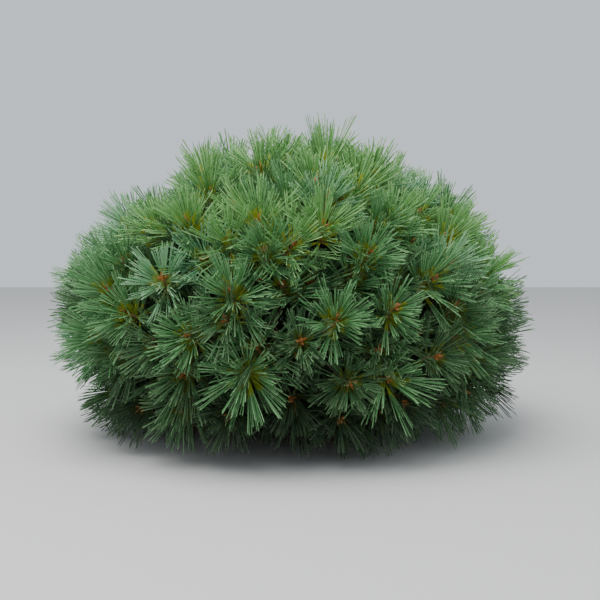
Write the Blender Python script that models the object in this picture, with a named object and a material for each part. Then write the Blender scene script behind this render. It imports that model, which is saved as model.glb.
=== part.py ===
"""Dwarf Siberian pine, a low and dense rounded shrub pine, rooted in level ground.

The origin is the middle of the flat cut under the trunk, at ground level, and +Z is up. The plant is
fullest to look at from -Y. A short trunk carries a low and a high whorl of boughs. Each bough ends where
it enters its mass of foliage, and the trunk's tip carries the top mass. A mass keeps to its own space in
the crown: one stem forks into twigs, and each twig ends in a spray of needles. Sizes are in metres.
"""

import math
from typing import NamedTuple

import bmesh
import bpy
import numpy as np
from mathutils import Matrix, Vector

# The crown: a round dome that is flatter above and cut off by the ground below
CROWN_WIDTH = 0.770
CROWN_DEPTH = 0.750
CROWN_HEIGHT = 0.495
WIDEST_HEIGHT = 0.190
DOME_POWER = 1.85
GROUND_CLEAR = 0.002

# Shoots: their tips lie one needle's reach inside the crown's outline, and a few lie deeper
NEEDLE_REACH = 0.053
SHOOT_SEED = 23
LATTICE_COUNT = 236
LATTICE_WANDER = 0.016
DEEPEST_SHOOT = 0.090
DEPTH_POWER = 3
LOWEST_SHOOT = 0.048
NEEDLE_LENGTHS = (0.048, 0.062)
AXIS_LIFT = 0.50
AXIS_WANDER = 0.16
FRONT_SHOOT_ROOM = 0.052

# The shoots that stand out on the side that faces -Y: degrees from -Y towards +X, height, needle length
FRONT_SHOOTS = (
    (-10, 0.134, 0.068),
    (15, 0.121, 0.052),
    (11, 0.208, 0.056),
    (25, 0.220, 0.052),
    (3, 0.180, 0.046),
    (21, 0.292, 0.060),
    (10, 0.326, 0.064),
    (-23, 0.183, 0.060),
    (-13, 0.240, 0.066),
    (-31, 0.075, 0.064),
    (38, 0.150, 0.060),
    (-32, 0.332, 0.060),
    (35, 0.339, 0.060),
    (47, 0.278, 0.062),
    (-16, 0.072, 0.058),
    (65, 0.438, 0.064),
)

# A spray: a slim five-sided bud whose faces run out into needles
SPRAY_SIDES = 5
SPRAY_RADIUS = 0.0046
SPRAY_TOP = 0.0110
SPRAY_RING_HEIGHT = 0.0055
TOP_SPREAD, UPPER_SPREAD, LOWER_SPREAD = (math.radians(a) for a in (24, 54, 82))
NEEDLE_WANDER = 0.10
NEEDLE_RADIUS = 0.0030
NEEDLE_TRIES = (1.0, 0.85, 0.70, 0.56)

# The core of a dense mass lies this far below its shoots' tips, and is at most this share of the way in
CORE_DEPTH = 0.030
CORE_DEEPEST_SHARE = 0.5
CORE_FOOT_SHARE = 0.25

# Masses: how many in each whorl, and the elevation and the first azimuth of their middles
TOP_MASS = "top"
LOW_COUNT, LOW_ELEVATION, LOW_START = 10, math.radians(-9), math.radians(-90)
HIGH_COUNT, HIGH_ELEVATION, HIGH_START = 6, math.radians(40), math.radians(-78)
SPACE_MARGIN = 0.0004
SHOOT_MARGIN = 0.0075

# Rods: rows of points that stand for limbs, twigs and needles where room is looked for
ROD_MARGIN = 0.0008
ROD_POINTS = 13
ROD_START_SHARE = 0.15
ROD_END_SHARE = 0.80

# Trunk: its rings lie closer together near the ground, where the roots flare
TRUNK_HEIGHT = 0.262
TRUNK_FOOT_RADIUS = 0.0235
TRUNK_TIP_RADIUS = 0.0070
TRUNK_TAPER_POWER = 0.8
FLARE_REACH = 0.015
FLARE_HEIGHT = 0.024
FLARE_ROOTS = 5
FLARE_BETWEEN_ROOTS = 0.15
TRUNK_LEAN = (0.010, -0.006)
TRUNK_SWAY = (0.004, -0.002)
TRUNK_SIDES = 20
TRUNK_RINGS = 10
TRUNK_RING_POWER = 1.5

# Boughs
LOW_ROOT_HEIGHTS = (0.044, 0.078)
HIGH_ROOT_HEIGHTS = (0.126, 0.158)
BOUGH_SHARE = 0.56
LOW_BOUGH_RADIUS = 0.0072
HIGH_BOUGH_RADIUS = 0.0066
BOUGH_TIP_RADIUS = 0.0044
BOUGH_RISE = math.radians(14)
BOUGH_HANDLES = (0.45, 0.30)
BOUGH_SIDES = 7
BOUGH_SPANS = 7
FIT_GAP = 0.0003

# Twigs: a mass's stem starts where its limb ends, and a twig's radius grows with the shoots it feeds
STEM_LENGTH = 0.0132
STEM_RADIUS_SHARE = 0.95
SHOOT_TWIG_RADIUS = 0.0017
TWIG_POWER = 0.38
FORK_SHARE = 0.42
FORK_TAPER = 0.9
SIDE_TWIG_SHARE = 0.5
TWIG_SIDES = 3

# Finishes
BARK_COLOUR, BARK_ROUGHNESS = (0.16, 0.12, 0.095), 0.9
NEEDLE_COLOUR, NEEDLE_ROUGHNESS = (0.10, 0.22, 0.08), 0.55
SMOOTH_ANGLE = math.radians(50)


class Shoot(NamedTuple):
    """The tip of a twig: its place, the way it points and the length of its needles."""

    place: Vector
    axis: Vector
    needle: float


class Limb(NamedTuple):
    """A trunk or bough as the line through its middle, with a radius at each point."""

    points: list
    radii: list


def crown_point(azimuth, rise, inset):
    """The point of the crown's outline at rise, from -1 below to 1 on top, moved in by inset."""
    reach = (1 - abs(rise) ** DOME_POWER) ** (1 / DOME_POWER)
    return Vector((
        (CROWN_WIDTH / 2 - inset) * reach * math.cos(azimuth),
        (CROWN_DEPTH / 2 - inset) * reach * math.sin(azimuth),
        WIDEST_HEIGHT + (CROWN_HEIGHT - WIDEST_HEIGHT - inset) * rise,
    ))


def growth_axis(place):
    """The way a shoot at this place points: outwards, and lifted towards the light."""
    outwards = Vector((
        place.x / CROWN_WIDTH**2,
        place.y / CROWN_DEPTH**2,
        (place.z - WIDEST_HEIGHT) / (2 * (CROWN_HEIGHT - WIDEST_HEIGHT)) ** 2,
    )).normalized()
    lift = AXIS_LIFT * min(1.0, place.z / WIDEST_HEIGHT)
    return (outwards + Vector((0, 0, lift))).normalized()


def front_shoots():
    """The shoots that stand out in front."""
    shoots = []
    for degrees, height, needle in FRONT_SHOOTS:
        rise = (height - WIDEST_HEIGHT) / (CROWN_HEIGHT - WIDEST_HEIGHT - NEEDLE_REACH)
        place = crown_point(math.radians(degrees - 90), min(rise, 1.0), NEEDLE_REACH)
        shoots.append(Shoot(place, growth_axis(place), needle))
    return shoots


def lattice_shoots(taken):
    """Shoots spread evenly by the golden angle, each moved a little, that stand clear of those taken."""
    random = np.random.default_rng(SHOOT_SEED)
    golden_angle = math.pi * (3 - math.sqrt(5))
    shoots = []
    for index in range(LATTICE_COUNT):
        wander = Vector(random.uniform(-LATTICE_WANDER, LATTICE_WANDER, 3))
        tilt = Vector(random.uniform(-AXIS_WANDER, AXIS_WANDER, 3))
        inset = NEEDLE_REACH + DEEPEST_SHOOT * random.uniform(0, 1) ** DEPTH_POWER
        needle = random.uniform(*NEEDLE_LENGTHS)
        rise = 1 - 2 * (index + 0.5) / LATTICE_COUNT
        surface = crown_point(index * golden_angle, rise, inset)
        place = surface + wander - wander.project(growth_axis(surface))
        if place.z < LOWEST_SHOOT:
            continue
        if any((place - other.place).length < FRONT_SHOOT_ROOM for other in taken):
            continue
        axis = (growth_axis(place) + tilt).normalized()
        shoots.append(Shoot(place, axis, needle))
    return shoots


def mass_middles():
    """Each mass's name and the middle of its space."""
    inset = NEEDLE_REACH
    middles = {TOP_MASS: crown_point(0, 1.0, inset)}
    for index in range(HIGH_COUNT):
        azimuth = HIGH_START + 2 * math.pi * index / HIGH_COUNT
        middles[f"high_{index + 1:02d}"] = crown_point(azimuth, math.sin(HIGH_ELEVATION), inset)
    for index in range(LOW_COUNT):
        azimuth = LOW_START + 2 * math.pi * index / LOW_COUNT
        middles[f"low_{index + 1:02d}"] = crown_point(azimuth, math.sin(LOW_ELEVATION), inset)
    return middles


class Space:
    """The part of the crown nearer to one mass's middle than to any other's, above the ground."""

    def __init__(self, name, middles):
        others = [middle for other, middle in middles.items() if other != name]
        own = middles[name]
        self.walls = [((own + other) / 2, (own - other).normalized()) for other in others]
        self.walls.append((Vector((0, 0, GROUND_CLEAR)), Vector((0, 0, 1))))

    def holds(self, point, margin=SPACE_MARGIN):
        """True if the point is inside, and at least margin from every wall."""
        return all((point - on_wall).dot(inwards) >= margin for on_wall, inwards in self.walls)

    def moved_in(self, point, margin):
        """The point, moved away from each wall that is nearer than margin."""
        for on_wall, inwards in self.walls:
            short = margin - (point - on_wall).dot(inwards)
            if short > 0:
                point = point + inwards * short
        return point


def trunk_middle(height):
    """The middle of the trunk at this height: a slight lean with a slow bend."""
    share = height / TRUNK_HEIGHT
    bend = math.sin(math.pi * share)
    x, y = (lean * share**2 + sway * bend for lean, sway in zip(TRUNK_LEAN, TRUNK_SWAY))
    return Vector((x, y, height))


def trunk_radius(height):
    """The trunk's taper, without its root flare."""
    share = (height / TRUNK_HEIGHT) ** TRUNK_TAPER_POWER
    return TRUNK_FOOT_RADIUS + (TRUNK_TIP_RADIUS - TRUNK_FOOT_RADIUS) * share


def trunk_limb():
    """The trunk as a limb."""
    heights = [TRUNK_HEIGHT * index / TRUNK_RINGS for index in range(TRUNK_RINGS + 1)]
    return Limb([trunk_middle(h) for h in heights], [trunk_radius(h) for h in heights])


def bough_limb(name, middle):
    """A bough that leaves the trunk a little above level and bends up towards its mass."""
    whorl, number = name.split("_")
    heights = LOW_ROOT_HEIGHTS if whorl == "low" else HIGH_ROOT_HEIGHTS
    base_radius = LOW_BOUGH_RADIUS if whorl == "low" else HIGH_BOUGH_RADIUS
    root = trunk_middle(heights[int(number) % len(heights)])
    tip = root.lerp(middle, BOUGH_SHARE)
    span = (tip - root).length
    level = Vector((middle.x - root.x, middle.y - root.y, 0)).normalized()
    leaving = level * math.cos(BOUGH_RISE) + Vector((0, 0, math.sin(BOUGH_RISE)))
    entering = (middle - tip).normalized()
    near, far = (share * span for share in BOUGH_HANDLES)
    handles = (root, root + leaving * near, tip - entering * far, tip)
    points, radii = [], []
    for index in range(BOUGH_SPANS + 1):
        along = index / BOUGH_SPANS
        weights = [math.comb(3, k) * along**k * (1 - along) ** (3 - k) for k in range(4)]
        points.append(sum((h * w for h, w in zip(handles, weights)), Vector()))
        radii.append(base_radius + (BOUGH_TIP_RADIUS - base_radius) * along)
    return Limb(points, radii)


class Rods:
    """Tapering rods as close rows of points, to keep what grows later off them."""

    def __init__(self):
        self.places, self.radii = np.empty((0, 3)), np.empty(0)

    def add(self, start, end, start_radius, end_radius):
        """Adds one rod."""
        places, radii = rod_points(start, end, start_radius, end_radius)
        self.places = np.concatenate([self.places, places])
        self.radii = np.concatenate([self.radii, radii])

    def clear_of(self, start, end, start_radius, end_radius):
        """True if a rod from start to end stays clear of them all."""
        if not len(self.places):
            return True
        places, radii = rod_points(start, end, start_radius, end_radius)
        room = np.linalg.norm(places[:, None] - self.places, axis=2) - radii[:, None] - self.radii
        return room.min() >= ROD_MARGIN


def rod_points(start, end, start_radius, end_radius):
    """Points along a rod, with the rod's radius at each."""
    shares = np.linspace(0, 1, ROD_POINTS)[:, None]
    places = np.array(start) * (1 - shares) + np.array(end) * shares
    return places, start_radius + (end_radius - start_radius) * shares[:, 0]


def make_material(name, colour, roughness):
    """A material with one colour and roughness."""
    material = bpy.data.materials.new(name)
    material.use_nodes = True
    shader = material.node_tree.nodes["Principled BSDF"]
    shader.inputs["Base Color"].default_value = (*colour, 1)
    shader.inputs["Roughness"].default_value = roughness
    shader.inputs["Metallic"].default_value = 0
    return material


def add_object(name, mesh_builder, material, smooth=False):
    """A new object made from a bmesh."""
    mesh = bpy.data.meshes.new(name)
    mesh_builder.to_mesh(mesh)
    mesh_builder.free()
    mesh.materials.append(material)
    if smooth:
        mesh.shade_smooth()
        mesh.set_sharp_from_angle(angle=SMOOTH_ANGLE)
    part = bpy.data.objects.new(name, mesh)
    bpy.context.scene.collection.objects.link(part)
    return part


def bridge_rings(rings):
    """A closed bmesh through rings of points, with flat faces at both ends."""
    builder = bmesh.new()
    loops = [[builder.verts.new(point) for point in ring] for ring in rings]
    count = len(rings[0])
    for below, above in zip(loops, loops[1:]):
        for side in range(count):
            beside = (side + 1) % count
            builder.faces.new((below[side], below[beside], above[beside], above[side]))
    builder.faces.new(list(reversed(loops[0])))
    builder.faces.new(loops[-1])
    return builder


def tube(points, radii, sides):
    """A closed bmesh round a line: its rings stand square to the line and don't twist."""
    rings = []
    aside = None
    for index, (point, radius) in enumerate(zip(points, radii)):
        before, after = points[max(index - 1, 0)], points[min(index + 1, len(points) - 1)]
        along = (after - before).normalized()
        aside = along.orthogonal() if aside is None else aside - aside.project(along)
        aside.normalize()
        turns = (Matrix.Rotation(2 * math.pi * side / sides, 3, along) for side in range(sides))
        rings.append([point + radius * (turn @ aside) for turn in turns])
    return bridge_rings(rings)


def trunk_rings(extra):
    """Level rings of the trunk, with its root flare, all larger by extra."""
    rings = []
    for index in range(TRUNK_RINGS + 1):
        height = TRUNK_HEIGHT * (index / TRUNK_RINGS) ** TRUNK_RING_POWER
        middle, radius = trunk_middle(height), trunk_radius(height) + extra
        spread = FLARE_REACH * math.exp(-height / FLARE_HEIGHT)
        ring = []
        for side in range(TRUNK_SIDES):
            angle = 2 * math.pi * side / TRUNK_SIDES
            lobe = (1 + math.cos(FLARE_ROOTS * angle)) / 2
            reach = radius + spread * (FLARE_BETWEEN_ROOTS + (1 - FLARE_BETWEEN_ROOTS) * lobe)
            ring.append(middle + Vector((math.cos(angle), math.sin(angle), 0)) * reach)
        rings.append(ring)
    return rings


def build_trunk(bark):
    """Builds the trunk, and returns a slightly larger copy of it that cuts the boughs' roots to fit."""
    add_object("trunk", bridge_rings(trunk_rings(0)), bark, smooth=True)
    cutter = add_object("trunk_cutter", bridge_rings(trunk_rings(FIT_GAP)), bark)
    cutter.hide_render = True
    cutter.display_type = "WIRE"
    return cutter


def build_bough(name, limb, cutter, bark):
    """One tapering bough, its root cut to the trunk with the fit gap."""
    bough = add_object(f"bough_{name}", tube(limb.points, limb.radii, BOUGH_SIDES), bark, smooth=True)
    cut = bough.modifiers.new("root_cut", "BOOLEAN")
    cut.operation = "DIFFERENCE"
    cut.object = cutter


def spray(shoot, space, limbs, grown, random):
    """A closed bmesh of one spray: each face of its bud runs out into a needle where there is room."""
    builder = bmesh.new()
    aside = shoot.axis.orthogonal().normalized()
    turn = random.uniform(0, 2 * math.pi)

    def around(angle):
        return Matrix.Rotation(turn + angle, 3, shoot.axis) @ aside

    def ring(angle_shift, height):
        return [
            builder.verts.new(
                shoot.place
                + shoot.axis * height
                + SPRAY_RADIUS * around(angle_shift + 2 * math.pi * side / SPRAY_SIDES)
            )
            for side in range(SPRAY_SIDES)
        ]

    half_turn = math.pi / SPRAY_SIDES
    bud = builder.verts.new(shoot.place + shoot.axis * SPRAY_TOP)
    lower = ring(0, -SPRAY_RING_HEIGHT)
    upper = ring(half_turn, SPRAY_RING_HEIGHT)
    needles = []

    def grow(corners, angle, spread):
        middle = sum((v.co for v in corners), Vector()) / 3
        bent = spread + random.uniform(-NEEDLE_WANDER, NEEDLE_WANDER)
        outwards = around(angle + random.uniform(-NEEDLE_WANDER, NEEDLE_WANDER))
        way = shoot.axis * math.cos(bent) + outwards * math.sin(bent)
        for share in NEEDLE_TRIES:
            tip = middle + way * shoot.needle * share
            rod = (middle, tip, NEEDLE_RADIUS, 0)
            if space.holds(tip) and limbs.clear_of(*rod) and grown.clear_of(*rod):
                point = builder.verts.new(tip)
                for first, second in zip(corners, corners[1:] + corners[:1]):
                    builder.faces.new((first, second, point))
                needles.append(rod)
                return
        builder.faces.new(corners)

    for side in range(SPRAY_SIDES):
        beside = (side + 1) % SPRAY_SIDES
        angle = 2 * math.pi * side / SPRAY_SIDES
        grow([lower[side], lower[beside], upper[side]], angle + half_turn, LOWER_SPREAD)
        grow([lower[beside], upper[beside], upper[side]], angle + 2 * half_turn, UPPER_SPREAD)
        grow([upper[side], upper[beside], bud], angle + 2 * half_turn, TOP_SPREAD)
    builder.faces.new(list(reversed(lower)))
    for needle in needles:
        grown.add(*needle)
    return builder


def split(shoots):
    """The shoots in two groups, on the two sides of a plane across their longest spread."""
    places = np.array([shoot.place for shoot in shoots])
    longest = np.linalg.svd(places - places.mean(axis=0))[2][0]
    order = np.argsort(places @ longest)
    half = len(shoots) // 2
    return [shoots[i] for i in order[:half]], [shoots[i] for i in order[half:]]


def twig_radius(count):
    """The radius of a twig that feeds this many shoots."""
    return SHOOT_TWIG_RADIUS * count**TWIG_POWER


def grow_twigs(start, start_radius, shoots, keep):
    """Twigs as (points, radii, the shoot at the end): one runs on through every fork, the rest leave it there.

    At each fork the shoots part in two groups. The twig runs on to the group that lies more nearly ahead.
    """
    points, radii, leaving = [start], [start_radius], []
    ahead = shoots
    while len(ahead) > 1:
        middle = sum((shoot.place for shoot in ahead), Vector()) / len(ahead)
        fork = points[-1].lerp(middle, FORK_SHARE)
        radius = twig_radius(len(ahead)) * FORK_TAPER
        if not keep(points[-1], fork, radii[-1], radius):
            return []
        along = fork - points[-1]
        points.append(fork)
        radii.append(radius)
        groups = sorted(split(ahead), key=lambda group: bend_to(fork, along, group))
        ahead = groups[0]
        leaving.append((fork, radius * SIDE_TWIG_SHARE, groups[1]))
    last = ahead[0]
    twigs = []
    if keep(points[-1], last.place, radii[-1], twig_radius(1)):
        twigs.append((points + [last.place], radii + [twig_radius(1)], last))
    elif len(points) > 1:
        twigs.append((points, radii, None))
    for fork, radius, group in leaving:
        twigs += grow_twigs(fork, radius, group, keep)
    return twigs


def bend_to(fork, along, group):
    """How far a twig that comes along turns at the fork to reach the middle of the group."""
    middle = sum((shoot.place for shoot in group), Vector()) / len(group)
    return along.angle(middle - fork)


def core(foot, shoots):
    """A closed bmesh of a mass's dense inside: the hull of points below its shoots, down to its foot."""
    builder = bmesh.new()
    builder.verts.new(foot)
    for shoot in shoots:
        inwards = foot - shoot.place
        depth = min(CORE_DEPTH, inwards.length * CORE_DEEPEST_SHARE)
        builder.verts.new(shoot.place + inwards.normalized() * depth)
    hull = bmesh.ops.convex_hull(builder, input=builder.verts)
    inside = {item for item in hull["geom_interior"] if isinstance(item, bmesh.types.BMVert)}
    bmesh.ops.delete(builder, geom=list(inside), context="VERTS")
    return builder


def fuse(name, parts, material):
    """One object that is the Boolean union of the parts, which are then removed."""
    base, others = parts[0], parts[1:]
    group = bpy.data.collections.new(name)
    for other in others:
        group.objects.link(other)
    union = base.modifiers.new("union", "BOOLEAN")
    union.operation = "UNION"
    union.operand_type = "COLLECTION"
    union.collection = group
    union.solver = "EXACT"
    bpy.context.view_layer.update()
    fused_mesh = bpy.data.meshes.new_from_object(base.evaluated_get(bpy.context.evaluated_depsgraph_get()))
    bpy.data.collections.remove(group)
    for part in parts:
        bpy.data.objects.remove(part)
    fused_mesh.name = name
    fused_mesh.materials.clear()
    fused_mesh.materials.append(material)
    fused = bpy.data.objects.new(name, fused_mesh)
    bpy.context.scene.collection.objects.link(fused)
    return fused


def build_mass(name, limb, shoots, space, limbs, random, needles):
    """One mass of foliage: a stem from its limb's tip, the twigs that fork from it, and their sprays."""
    leaving = (limb.points[-1] - limb.points[-2]).normalized()
    seat = limb.points[-1] + leaving * FIT_GAP
    stem_end = seat + leaving * STEM_LENGTH
    stem_radius = limb.radii[-1] * STEM_RADIUS_SHARE

    def keep(start, end, start_radius, end_radius):
        past_root = start.lerp(end, ROD_START_SHARE)
        return space.holds(end, end_radius) and limbs.clear_of(past_root, end, start_radius, end_radius)

    twigs = grow_twigs(stem_end, stem_radius, shoots, keep)
    parts, grown = [], Rods()
    for index, (points, radii, _) in enumerate(twigs):
        line = [seat] + points if index == 0 else points
        sizes = [stem_radius] + radii if index == 0 else radii
        parts.append(add_object("twig", tube(line, sizes, TWIG_SIDES), needles))
        for start, end, start_radius, end_radius in zip(points, points[1:], radii, radii[1:]):
            grown.add(start, start.lerp(end, ROD_END_SHARE), start_radius, end_radius)
    fed = [shoot for _, _, shoot in twigs if shoot]
    foot = twigs[0][0][0].lerp(twigs[0][0][1], CORE_FOOT_SHARE)
    parts.append(add_object("core", core(foot, fed), needles))
    for shoot in fed:
        parts.append(add_object("spray", spray(shoot, space, limbs, grown, random), needles))
    return fuse(f"foliage_{name}", parts, needles)


def main():
    """Builds the trunk, the boughs and the masses of foliage."""
    for old in list(bpy.data.objects):
        bpy.data.objects.remove(old)
    bark = make_material("bark", BARK_COLOUR, BARK_ROUGHNESS)
    needles = make_material("needles", NEEDLE_COLOUR, NEEDLE_ROUGHNESS)

    middles = mass_middles()
    taken = front_shoots()
    shoots = taken + lattice_shoots(taken)
    groups = {name: [] for name in middles}
    for shoot in shoots:
        nearest = min(middles, key=lambda name: (middles[name] - shoot.place).length)
        groups[nearest].append(shoot)

    named_limbs = {TOP_MASS: trunk_limb()}
    for name, middle in middles.items():
        if name != TOP_MASS:
            named_limbs[name] = bough_limb(name, middle)
    limbs = Rods()
    for limb in named_limbs.values():
        for span in zip(limb.points, limb.points[1:], limb.radii, limb.radii[1:]):
            limbs.add(*span)
    cutter = build_trunk(bark)
    random = np.random.default_rng(SHOOT_SEED + 1)
    for name, limb in named_limbs.items():
        if name != TOP_MASS:
            build_bough(name, limb, cutter, bark)
        space = Space(name, middles)
        inside = [
            shoot._replace(place=space.moved_in(shoot.place, SHOOT_MARGIN)) for shoot in groups[name]
        ]
        build_mass(name, limb, inside, space, limbs, random, needles)


main()
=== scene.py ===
"""Looks of the dwarf Siberian pine shrub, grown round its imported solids.

The shoots, limbs and twigs follow the rule of the solids, written again here, and are carried on to finer
twigs, buds and single needles. Sizes are in metres, +Z is up, and the shrub is seen from -Y.
"""

import logging
import math
from collections.abc import Iterable
from dataclasses import dataclass, field
from enum import Enum

import bpy
import numpy as np
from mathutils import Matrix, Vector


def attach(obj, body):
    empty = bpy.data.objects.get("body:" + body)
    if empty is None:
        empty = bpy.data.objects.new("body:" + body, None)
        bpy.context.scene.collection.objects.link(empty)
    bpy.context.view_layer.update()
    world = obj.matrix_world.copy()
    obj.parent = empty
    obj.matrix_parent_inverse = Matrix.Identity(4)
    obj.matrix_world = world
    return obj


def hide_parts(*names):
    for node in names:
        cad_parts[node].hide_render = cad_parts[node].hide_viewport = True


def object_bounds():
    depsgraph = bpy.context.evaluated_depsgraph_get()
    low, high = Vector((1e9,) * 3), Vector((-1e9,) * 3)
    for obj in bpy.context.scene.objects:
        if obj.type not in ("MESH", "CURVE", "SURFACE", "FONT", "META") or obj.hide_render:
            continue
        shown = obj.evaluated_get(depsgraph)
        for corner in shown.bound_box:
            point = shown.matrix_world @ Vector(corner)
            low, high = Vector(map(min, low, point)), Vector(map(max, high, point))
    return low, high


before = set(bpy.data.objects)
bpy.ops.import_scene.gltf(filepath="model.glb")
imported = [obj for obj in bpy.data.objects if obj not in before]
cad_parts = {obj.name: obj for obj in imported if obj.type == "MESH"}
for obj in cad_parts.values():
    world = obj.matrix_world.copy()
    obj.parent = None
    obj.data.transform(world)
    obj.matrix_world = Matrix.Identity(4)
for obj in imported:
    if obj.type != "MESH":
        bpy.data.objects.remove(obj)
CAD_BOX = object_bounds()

LOG = logging.getLogger("pine_shrub")
GOLDEN_ANGLE = math.pi * (3 - math.sqrt(5))
UP = np.array([0.0, 0.0, 1.0])
ACROSS = np.array([1.0, 0.0, 0.0])
SHADER = "Principled BSDF"
NEARLY_UPRIGHT = 0.95
SHORTEST = 1e-12
LEAST_REACH = 1e-9

Array = np.ndarray
Material = bpy.types.Material
Triple = tuple[float, float, float]
Span = tuple[float, float]


def unit(vectors: Array) -> Array:
    """Each vector divided by its own length."""
    return vectors / np.maximum(np.linalg.norm(vectors, axis=-1, keepdims=True), SHORTEST)


def measure(vectors: Array) -> Array:
    """The length of each vector."""
    return np.linalg.norm(vectors, axis=-1)


def part_along(vectors: Array, axes: Array) -> Array:
    """The part of each vector along its unit axis."""
    return axes * np.sum(vectors * axes, axis=1, keepdims=True)


def full_turn(count: int) -> Array:
    """This many even angles, once round."""
    return np.linspace(0, 2 * math.pi, count, endpoint=False)


def around(angles: Array, first: Array, second: Array) -> Array:
    """Directions turned from the first towards the second: cos a * first + sin a * second."""
    return np.cos(angles)[..., None] * first + np.sin(angles)[..., None] * second


def ridge(angles: Array, sharpness: float) -> Array:
    """Two narrow ridges for each full turn of the angle: 1 - |sin a|, raised to the sharpness."""
    return (1 - np.abs(np.sin(angles))) ** sharpness


def square_to(axes: Array) -> tuple[Array, Array]:
    """Two unit vectors square to each axis: it crossed with up, or +X where upright, and with the first."""
    first = unit(np.cross(axes, np.where(np.abs(axes[:, 2:3]) > NEARLY_UPRIGHT, ACROSS, UP)))
    return first, np.cross(axes, first)


def smooth_line(rows: Array, steps: int) -> Array:
    """A Catmull-Rom curve through rows of numbers.

    Each span is a cubic whose end slopes are half the step from the row before to the row after.

    Args:
        rows: the rows.
        steps: how many pieces each span is cut into.

    Returns:
        The finer rows.
    """
    padded = np.vstack([2 * rows[0] - rows[1], rows, 2 * rows[-1] - rows[-2]])[:, None]
    before, start, end, after = padded[:-3], padded[1:-2], padded[2:-1], padded[3:]
    share = (np.arange(steps) / steps)[None, :, None]
    curve = 0.5 * (
        2 * start
        + (end - before) * share
        + (2 * before - 5 * start + 4 * end - after) * share**2
        + (3 * start - before - 3 * end + after) * share**3
    )
    return np.vstack([curve.reshape(-1, rows.shape[1]), rows[-1]])


@dataclass
class Surface:
    """A triangle mesh as arrays: corners, triangles and the number of each triangle's finish."""

    corners: Array
    triangles: Array
    finishes: Array

    @staticmethod
    def joined(parts: list["Surface"]) -> "Surface":
        """One surface made of several, their triangles renumbered by the corners before them.

        Args:
            parts: the surfaces.

        Returns:
            The joined surface.
        """
        shifts = np.cumsum([0] + [len(part.corners) for part in parts[:-1]])
        return Surface(
            np.concatenate([part.corners for part in parts]),
            np.concatenate([part.triangles + shift for part, shift in zip(parts, shifts)]),
            np.concatenate([part.finishes for part in parts]),
        )

    def piece(self, name: str, materials: list[Material], smooth: bool) -> bpy.types.Object:
        """Puts the surface into a new object at the origin.

        Args:
            name: the piece's name.
            materials: the finishes that the triangles' numbers stand for.
            smooth: whether the faces are shaded smooth.

        Returns:
            The new object.
        """
        count = len(self.triangles)
        mesh = bpy.data.meshes.new(name)
        mesh.vertices.add(len(self.corners))
        mesh.loops.add(3 * count)
        mesh.polygons.add(count)
        for material in materials:
            mesh.materials.append(material)
        for layer, key, values in (
            (mesh.vertices, "co", self.corners.astype(np.float32)),
            (mesh.loops, "vertex_index", self.triangles.astype(np.int32)),
            (mesh.polygons, "loop_start", np.arange(0, 3 * count, 3, dtype=np.int32)),
            (mesh.polygons, "material_index", self.finishes.astype(np.int32)),
            (mesh.polygons, "use_smooth", np.full(count, smooth)),
        ):
            layer.foreach_set(key, values.ravel())
        mesh.update(calc_edges=True)
        mesh.validate()
        piece = bpy.data.objects.new(name, mesh)
        bpy.context.scene.collection.objects.link(piece)
        return piece


def closed_rings(rings: Array, foot: Array, tip: Array, finishes: Array) -> Surface:
    """A closed surface through rings of corners, with a fan to one middle point at each end.

    Args:
        rings: corners by ring and side, counter-clockwise seen from the tip.
        foot: the middle of the first ring.
        tip: the middle of the last ring.
        finishes: the number of each span's finish.

    Returns:
        The surface.
    """
    count, sides = rings.shape[:2]
    corner = np.arange(count * sides).reshape(count, sides)
    beside = np.roll(corner, -1, axis=1)
    low, high, far = corner[:-1], corner[1:], beside[1:]
    walls = np.stack([low, beside[:-1], far, low, far, high], axis=-1).reshape(-1, 3)
    foot_fan = np.stack([np.full(sides, corner.size), beside[0], corner[0]], axis=-1)
    tip_fan = np.stack([np.full(sides, corner.size + 1), corner[-1], beside[-1]], axis=-1)
    ends = np.repeat(finishes[[0, -1]], sides)
    return Surface(
        np.vstack([rings.reshape(-1, 3), foot, tip]),
        np.vstack([walls, foot_fan, tip_fan]),
        np.concatenate([np.repeat(finishes, 2 * sides), ends]),
    )


def tube(points: Array, radii: Array, sides: int, finishes: Array, relief: Array | float = 0.0) -> Surface:
    """A closed tube round a line.

    Each ring is centre + radius * (1 + relief) * (cos a * first + sin a * second), square to the line, with a
    running once round. The first direction is carried from ring to ring by taking away its part along the
    line, so that the tube doesn't twist.

    Args:
        points: the line's points.
        radii: the radius at each point.
        sides: corners in each ring.
        finishes: the number of each span's finish.
        relief: how far each corner stands out, as a share of the radius.

    Returns:
        The tube.
    """
    along = unit(np.gradient(points, axis=0))
    aside = square_to(along[:1])[0][0]
    firsts = np.empty_like(points)
    for ring, way in enumerate(along):
        aside = aside - way * (aside @ way)
        aside = aside / np.linalg.norm(aside)
        firsts[ring] = aside
    circles = around(full_turn(sides)[None], firsts[:, None], np.cross(along, firsts)[:, None])
    reach = radii[:, None] * (1 + relief)
    return closed_rings(points[:, None] + reach[:, :, None] * circles, points[0], points[-1], finishes)


@dataclass
class Shoots:
    """The tips of twigs: where each is, the way it points, its needles' length and how deep it lies."""

    places: Array
    axes: Array
    needles: Array
    depths: Array

    def only(self, chosen: Array) -> "Shoots":
        """The shoots that are chosen by a mask or by numbers."""
        return Shoots(*(values[chosen] for values in vars(self).values()))

    def with_more(self, other: "Shoots") -> "Shoots":
        """These shoots and then the others."""
        pairs = zip(vars(self).values(), vars(other).values())
        return Shoots(*(np.concatenate(pair) for pair in pairs))


@dataclass(frozen=True)
class Filling:
    """A further lattice of shoots.

    Its insets are how far it lies behind the outermost shoots, and its room is each shoot's least distance
    from all that grew before it.
    """

    seed: int
    count: int
    insets: Span
    needles: Span
    room: float
    lowest: float = 0.036
    turn: float = 1.0
    axis_wander: float = 0.34


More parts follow.
